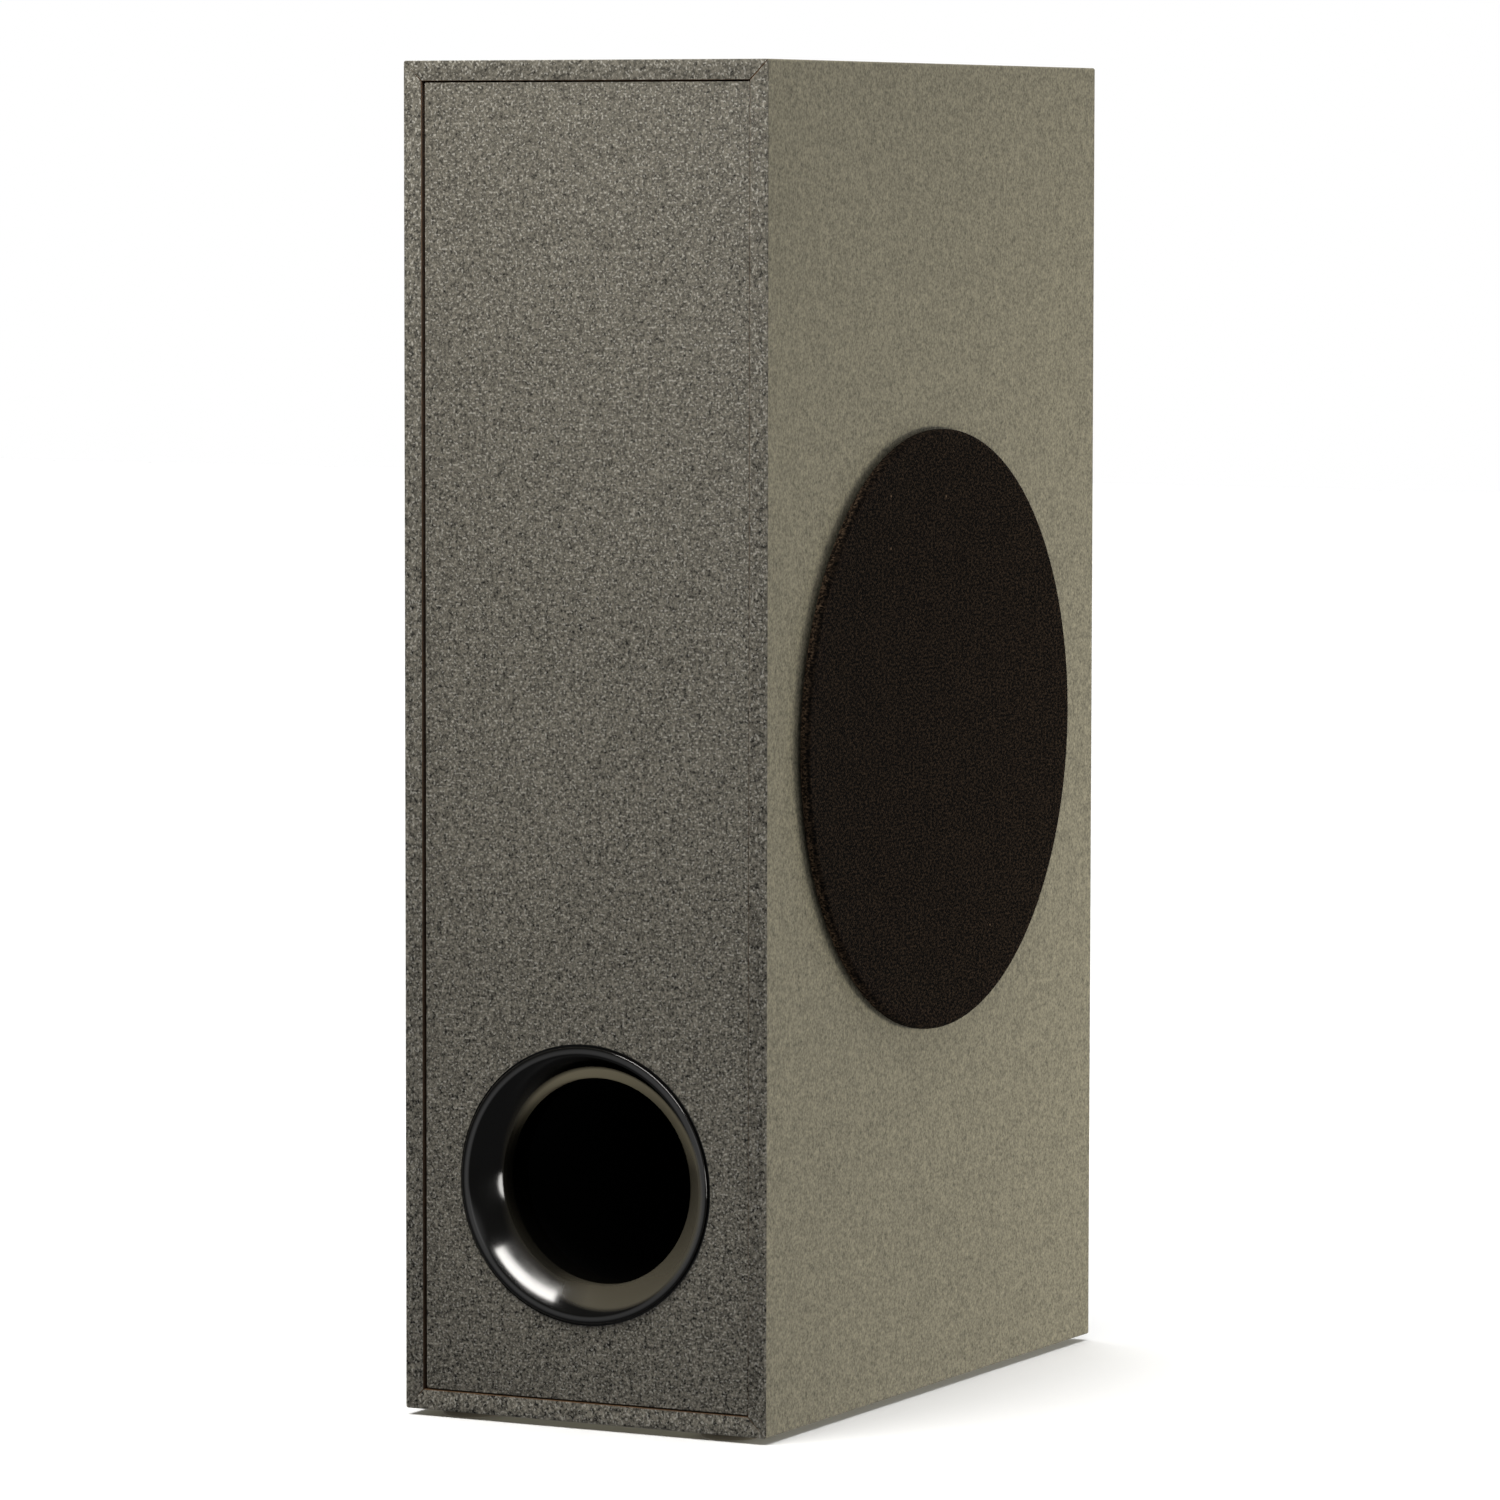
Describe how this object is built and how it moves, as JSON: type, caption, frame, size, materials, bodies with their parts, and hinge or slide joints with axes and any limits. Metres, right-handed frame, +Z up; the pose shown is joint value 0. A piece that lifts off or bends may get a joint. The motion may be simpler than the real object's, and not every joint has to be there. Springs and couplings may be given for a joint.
{
  "type": "soundbar subwoofer",
  "caption": "Slim upright subwoofer of a soundbar set: foil-wrapped box, flared round bass port in its narrow front, round cloth grille over the woofer in its side.",
  "frame": {"origin": "middle of the box's footprint, on the floor under the feet", "axes": "+Z up, -Y out of the narrow front with the port, +X out of the side with the grille"},
  "size_m": [0.1242, 0.226, 0.402],
  "materials": {
    "wrap_foil": "fibreboard wrapped in fine-grained grey foil",
    "front_foil": "fibreboard wrapped in sparkling dark grey foil",
    "rear_board": "fibreboard painted matt black",
    "foot_rubber": "matt black rubber",
    "soft_rubber": "matt black rubber",
    "black_foam": "closed-cell foam",
    "cone_paper": "pressed black paper pulp",
    "grille_fabric": "black acoustic cloth, fine weave",
    "spider_fabric": "resin-stiffened tan cloth",
    "gloss_black": "polished black moulding",
    "matt_black": "fine spark texture",
    "black_steel": "satin black paint on steel",
    "zinc_steel": "zinc-plated steel",
    "cast_aluminium": "extruded aluminium",
    "brass_parts": "plated brass",
    "copper_parts": "enamelled copper",
    "ferrite": "sintered ferrite, dark grey",
    "circuit_green": "glass-fibre board with green solder mask",
    "led_lens": "clear tinted lens",
    "red_sleeve": "soft red insulation",
    "black_sleeve": "soft black insulation"
  },
  "bodies": {
    "cabinet": {"top_board": "wrap_foil", "bottom_board": "wrap_foil", "left_board": "wrap_foil", "right_board": "wrap_foil", "front_baffle": "front_foil", "rear_panel": "rear_board", "foot_front_left": "foot_rubber", "foot_front_right": "foot_rubber", "foot_rear_left": "foot_rubber", "foot_rear_right": "foot_rubber", "driver_basket": "black_steel", "driver_gasket": "black_foam", "driver_surround": "soft_rubber", "driver_spider": "spider_fabric", "driver_top_plate": "zinc_steel", "driver_magnet": "ferrite", "driver_back_plate": "zinc_steel", "driver_terminals": "matt_black", "tinsel_lead_upper": "copper_parts", "tinsel_lead_lower": "copper_parts", "driver_screw_1": "black_steel", "driver_screw_2": "black_steel", "driver_screw_3": "black_steel", "driver_screw_4": "black_steel", "grille_socket_1": "soft_rubber", "grille_socket_2": "soft_rubber", "grille_socket_3": "soft_rubber", "grille_socket_4": "soft_rubber", "port_flare": "gloss_black", "port_tube": "matt_black", "amp_plate": "black_steel", "amp_seal": "black_foam", "plate_screw_1": "black_steel", "plate_screw_2": "black_steel", "plate_screw_3": "black_steel", "plate_screw_4": "black_steel", "power_inlet": "matt_black", "inlet_pin_left": "brass_parts", "inlet_pin_right": "brass_parts", "button_switch": "matt_black", "status_led": "led_lens", "amp_circuit_board": "circuit_green", "board_standoff_1": "brass_parts", "board_standoff_2": "brass_parts", "board_standoff_3": "brass_parts", "board_standoff_4": "brass_parts", "wireless_module": "zinc_steel", "amp_heatsink": "cast_aluminium", "power_transformer": "ferrite", "capacitor_left": "black_sleeve", "capacitor_right": "black_sleeve", "speaker_wire_red": "red_sleeve", "speaker_wire_black": "black_sleeve"},
    "moving_cone": {"driver_cone": "cone_paper", "driver_dust_cap": "cone_paper", "driver_voice_coil": "copper_parts"},
    "grille": {"grille_cloth": "grille_fabric", "grille_frame": "matt_black"},
    "button": {"pairing_button": "matt_black"}
  },
  "joints": [
    {"name": "cone_stroke", "type": "slide", "parent": "cabinet", "child": "moving_cone", "axis": [1, 0, 0], "range_m": [-0.004, 0.004], "stiffness_N_per_m": 1200, "deforming": ["driver_surround", "driver_spider", "tinsel_lead_upper", "tinsel_lead_lower"]},
    {"name": "grille_pull", "type": "slide", "parent": "cabinet", "child": "grille", "axis": [1, 0, 0], "range_m": [0, 0.04]},
    {"name": "pairing_press", "type": "slide", "parent": "cabinet", "child": "button", "axis": [0, -1, 0], "range_m": [0, 0.0008], "stiffness_N_per_m": 900, "springref_m": -0.0003}
  ]
}
